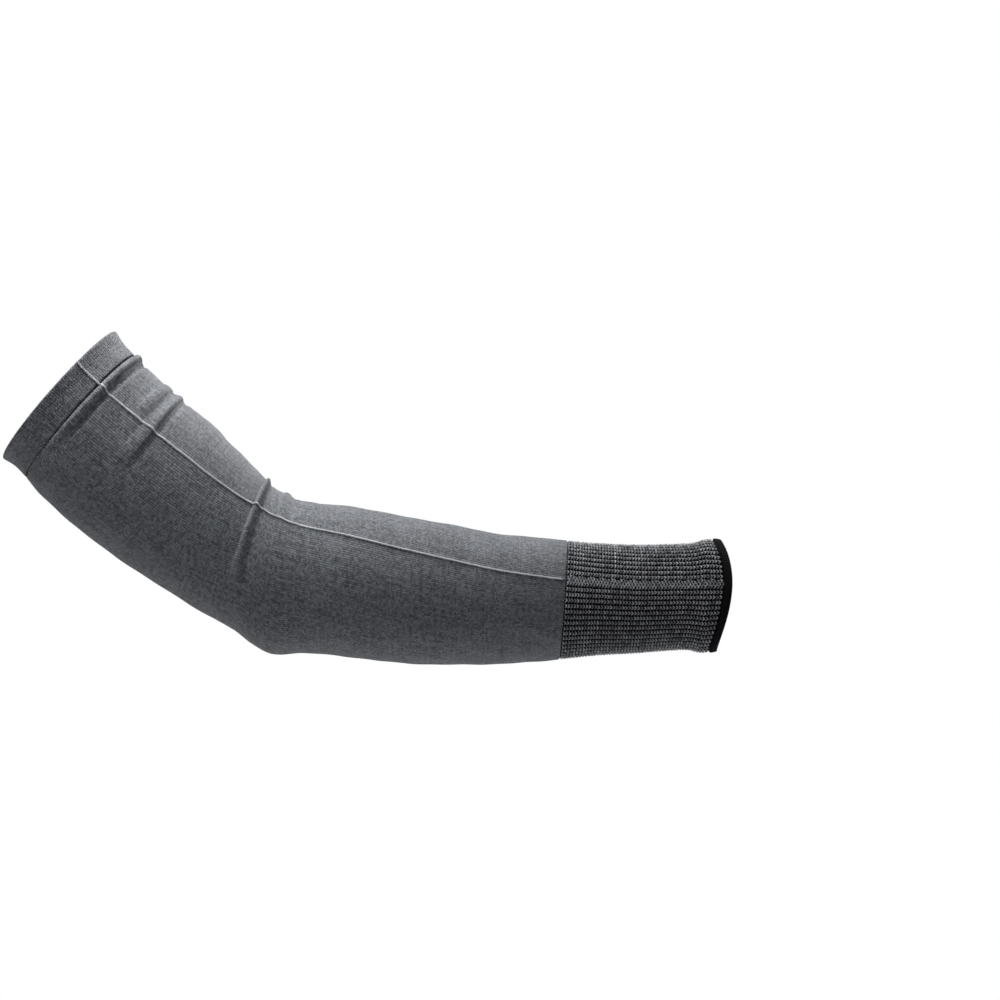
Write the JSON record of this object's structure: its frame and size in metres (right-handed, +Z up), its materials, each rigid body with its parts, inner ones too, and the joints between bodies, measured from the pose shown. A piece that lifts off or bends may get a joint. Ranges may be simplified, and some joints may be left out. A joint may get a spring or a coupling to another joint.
{
  "type": "cut resistant sleeve",
  "caption": "Knitted cut resistant arm sleeve in the bent form it has when worn, with a folded upper hem, a raised side line, a rib cuff and a bound wrist edge.",
  "frame": {"origin": "centre of the upper arm opening, at the rim of the hem", "axes": "+X from the upper arm opening towards the wrist, +Y away from the viewer of the pictured side, +Z up, towards the crook of the elbow"},
  "size_m": [0.4701, 0.0962, 0.2157],
  "materials": {
    "grey_knit": "fine grey single knit with a light fleck",
    "marl_rib": "black rib knit with light grey marl wales",
    "black_edging": "black elastic overlock edging"
  },
  "bodies": {
    "root": {"upper_hem": "grey_knit", "sleeve_body": "grey_knit", "rib_cuff": "marl_rib", "wrist_edging": "black_edging"}
  },
  "joints": []
}
